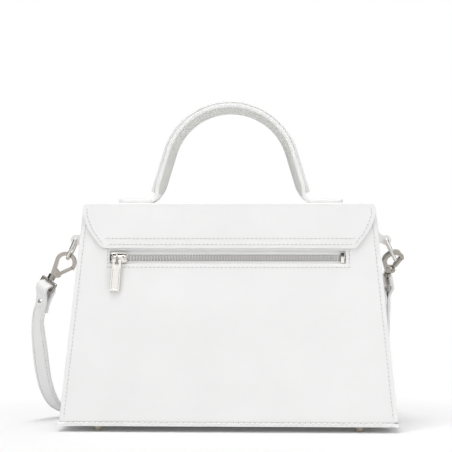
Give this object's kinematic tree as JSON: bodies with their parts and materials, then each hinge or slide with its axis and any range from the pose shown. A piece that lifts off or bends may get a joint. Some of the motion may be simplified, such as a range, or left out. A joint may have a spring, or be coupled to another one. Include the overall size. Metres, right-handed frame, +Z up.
{
  "type": "trapeze bag",
  "caption": "Trapeze handbag with an arched top handle, a folding flap, a zipped back pocket, metal feet and a shoulder strap clipped to side rings by snap hooks.",
  "frame": {"origin": "on the floor under the middle of the bag, strap and hooks left out", "axes": "+Z up, back face with the zip towards -Y, +X to the right seen from the back"},
  "size_m": [0.3098, 0.2369, 0.2666],
  "materials": {
    "leather_white": "smooth fine grain",
    "lining_cloth": "plain weave",
    "zip_cloth": "woven tape",
    "stiffener": "matte",
    "nickel": "polished nickel"
  },
  "bodies": {
    "bag": {"back_panel": "leather_white", "front_panel": "leather_white", "base_panel": "leather_white", "left_gusset": "leather_white", "right_gusset": "leather_white", "lining": "lining_cloth", "inner_pocket": "lining_cloth", "base_board": "stiffener", "feet": "nickel", "foot_washers": "nickel", "flap_back": "leather_white", "panel_magnet": "nickel", "zip_tape_upper": "zip_cloth", "zip_tape_lower": "zip_cloth", "zip_teeth_upper": "nickel", "zip_teeth_lower": "nickel", "zip_stops": "nickel", "zip_pocket": "lining_cloth", "left_ring_loop": "leather_white", "right_ring_loop": "leather_white", "left_swivel": "nickel", "right_swivel": "nickel", "left_strap_end": "leather_white", "right_strap_end": "leather_white", "strap_rivets": "nickel", "shoulder_strap": "leather_white"},
    "flap": {"flap_top": "leather_white", "flap_top_lining": "lining_cloth", "handle_strap": "leather_white", "handle_core": "stiffener", "handle_cover": "leather_white"},
    "flap_drop": {"flap_front": "leather_white", "flap_front_lining": "lining_cloth", "flap_magnet": "nickel"},
    "slider": {"zip_slider": "nickel"},
    "link": {"zip_link": "nickel"},
    "pull": {"zip_pull": "nickel"},
    "ring_left": {"left_ring": "nickel"},
    "ring_right": {"right_ring": "nickel"},
    "hook_left": {"left_hook": "nickel", "left_gate_pin": "nickel"},
    "hook_right": {"right_hook": "nickel", "right_gate_pin": "nickel"},
    "gate_left": {"left_gate": "nickel"},
    "gate_right": {"right_gate": "nickel"}
  },
  "joints": [
    {"name": "flap_lift", "type": "hinge", "parent": "bag", "child": "flap", "pos_m": [0, -0.0352, 0.1814], "axis": [1, 0, 0], "range_deg": [0, 100]},
    {"name": "drop_fold", "type": "hinge", "parent": "flap", "child": "flap_drop", "pos_m": [0, 0.0356, 0.1814], "axis": [1, 0, 0], "range_deg": [0, 80]},
    {"name": "zip_slide", "type": "slide", "parent": "bag", "child": "slider", "axis": [1, 0, 0], "range_m": [0, 0.1705]},
    {"name": "pull_lift", "type": "hinge", "parent": "slider", "child": "link", "pos_m": [-0.0897, -0.04278, 0.13905], "axis": [-1, 0, 0], "range_deg": [0, 110]},
    {"name": "pull_swing", "type": "hinge", "parent": "link", "child": "pull", "pos_m": [-0.0897, -0.04303, 0.13416], "axis": [0, -0.9987, 0.0517], "range_deg": [-10, 10]},
    {"name": "left_ring_swing", "type": "hinge", "parent": "bag", "child": "ring_left", "pos_m": [-0.1275, 0, 0.1525], "axis": [0, 1, 0], "range_deg": [-3, 3]},
    {"name": "left_hook_turn", "type": "hinge", "parent": "bag", "child": "hook_left", "pos_m": [-0.14714, 0, 0.12359], "axis": [0.4939, 0, 0.8695], "range_deg": [-6, 6]},
    {"name": "left_gate_open", "type": "hinge", "parent": "hook_left", "child": "gate_left", "pos_m": [-0.1431, 0, 0.12382], "axis": [0, -1, 0], "range_deg": [0, 22], "stiffness_Nm_per_rad": 0.02, "springref_deg": -11.46},
    {"name": "right_ring_swing", "type": "hinge", "parent": "bag", "child": "ring_right", "pos_m": [0.1275, 0, 0.1525], "axis": [0, 1, 0], "range_deg": [-3, 3]},
    {"name": "right_hook_turn", "type": "hinge", "parent": "bag", "child": "hook_right", "pos_m": [0.12963, 0.01816, 0.12605], "axis": [-0.0003, -0.7002, 0.7139], "range_deg": [-6, 6]},
    {"name": "right_gate_open", "type": "hinge", "parent": "hook_right", "child": "gate_right", "pos_m": [0.13287, 0.01735, 0.12833], "axis": [0.2991, -0.6813, -0.6681], "range_deg": [0, 22], "stiffness_Nm_per_rad": 0.02, "springref_deg": -11.46}
  ]
}
